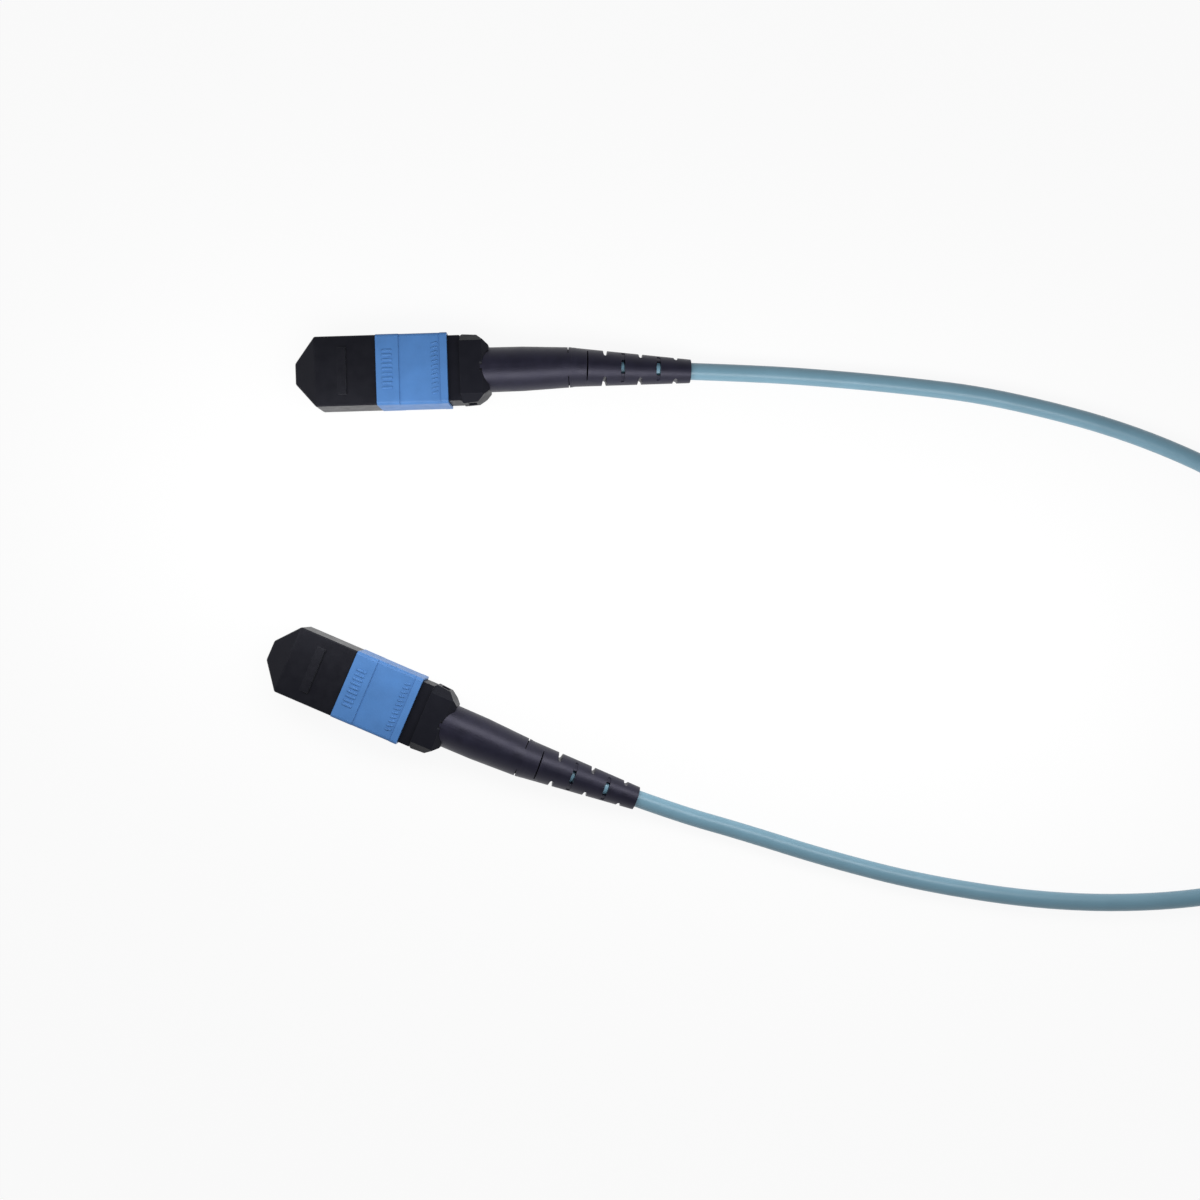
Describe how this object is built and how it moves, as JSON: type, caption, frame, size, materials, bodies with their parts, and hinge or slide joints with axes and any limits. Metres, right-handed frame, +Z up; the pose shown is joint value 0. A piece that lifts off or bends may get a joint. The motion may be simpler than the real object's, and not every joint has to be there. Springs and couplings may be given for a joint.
{
  "type": "mpo fibre connector",
  "caption": "Multi-fibre push-on plug with a dust cap, a sliding coupling sleeve and a slotted boot, on a round cord with a twin plug at its far end.",
  "frame": {"origin": "below the middle of the near plug's box, on the surface that the plug lies on", "axes": "+X along the near plug from its dust cap to its cable, +Y across its wide face, +Z up out of the wide face that carries the key"},
  "size_m": [0.2239, 0.1083, 0.0077],
  "materials": {
    "cap_plastic": "moulded satin black",
    "sleeve_plastic": "moulded satin blue",
    "housing_plastic": "moulded satin black",
    "ferrule_plastic": "ground face, filled black plastic",
    "keeper_plastic": "moulded",
    "soft_block": "soft",
    "ribbon_coating": "clear coated",
    "spring_steel": "drawn wire",
    "yarn": "loose fibres",
    "ring_metal": "satin, crimped",
    "boot_rubber": "matt black with a violet cast",
    "jacket": "smooth aqua jacket"
  },
  "bodies": {
    "plug_body": {"inner_housing": "housing_plastic", "ferrule_spring": "spring_steel", "spring_push": "housing_plastic", "coupling_spring_left": "spring_steel", "coupling_spring_right": "spring_steel", "aramid_yarn": "yarn", "crimp_ring": "ring_metal", "strain_relief_boot": "boot_rubber", "cable_in_boot": "jacket", "far_inner_housing": "housing_plastic", "far_ferrule_spring": "spring_steel", "far_spring_push": "housing_plastic", "far_coupling_spring_left": "spring_steel", "far_coupling_spring_right": "spring_steel", "far_aramid_yarn": "yarn", "far_crimp_ring": "ring_metal", "far_strain_relief_boot": "boot_rubber", "far_cable_in_boot": "jacket", "cord_lead": "jacket", "far_cord_lead": "jacket", "cord_coil": "jacket"},
    "dust_cap": {"dust_cap": "cap_plastic"},
    "sleeve": {"coupling_sleeve": "sleeve_plastic"},
    "ferrule": {"mt_ferrule": "ferrule_plastic", "pin_keeper": "keeper_plastic", "ferrule_boot": "soft_block", "fibre_ribbon": "ribbon_coating"},
    "far_dust_cap": {"far_dust_cap": "cap_plastic"},
    "far_sleeve": {"far_coupling_sleeve": "sleeve_plastic"},
    "far_ferrule": {"far_mt_ferrule": "ferrule_plastic", "far_pin_keeper": "keeper_plastic", "far_ferrule_boot": "soft_block", "far_fibre_ribbon": "ribbon_coating"}
  },
  "joints": [
    {"name": "cap_pull", "type": "slide", "parent": "plug_body", "child": "dust_cap", "axis": [-1, 0, 0], "range_m": [0, 0.016]},
    {"name": "sleeve_slide", "type": "slide", "parent": "plug_body", "child": "sleeve", "axis": [1, 0, 0], "range_m": [0, 0.002], "stiffness_N_per_m": 200, "deforming": ["coupling_spring_left", "coupling_spring_right"]},
    {"name": "ferrule_float", "type": "slide", "parent": "plug_body", "child": "ferrule", "axis": [1, 0, 0], "range_m": [0, 0.0008], "stiffness_N_per_m": 1000, "deforming": ["ferrule_spring"]},
    {"name": "far_cap_pull", "type": "slide", "parent": "plug_body", "child": "far_dust_cap", "axis": [-0.9063, 0.4226, 0], "range_m": [0, 0.016]},
    {"name": "far_sleeve_slide", "type": "slide", "parent": "plug_body", "child": "far_sleeve", "axis": [0.9063, -0.4226, 0], "range_m": [0, 0.002], "stiffness_N_per_m": 200, "deforming": ["far_coupling_spring_left", "far_coupling_spring_right"]},
    {"name": "far_ferrule_float", "type": "slide", "parent": "plug_body", "child": "far_ferrule", "axis": [0.9063, -0.4226, 0], "range_m": [0, 0.0008], "stiffness_N_per_m": 1000, "deforming": ["far_ferrule_spring"]}
  ]
}
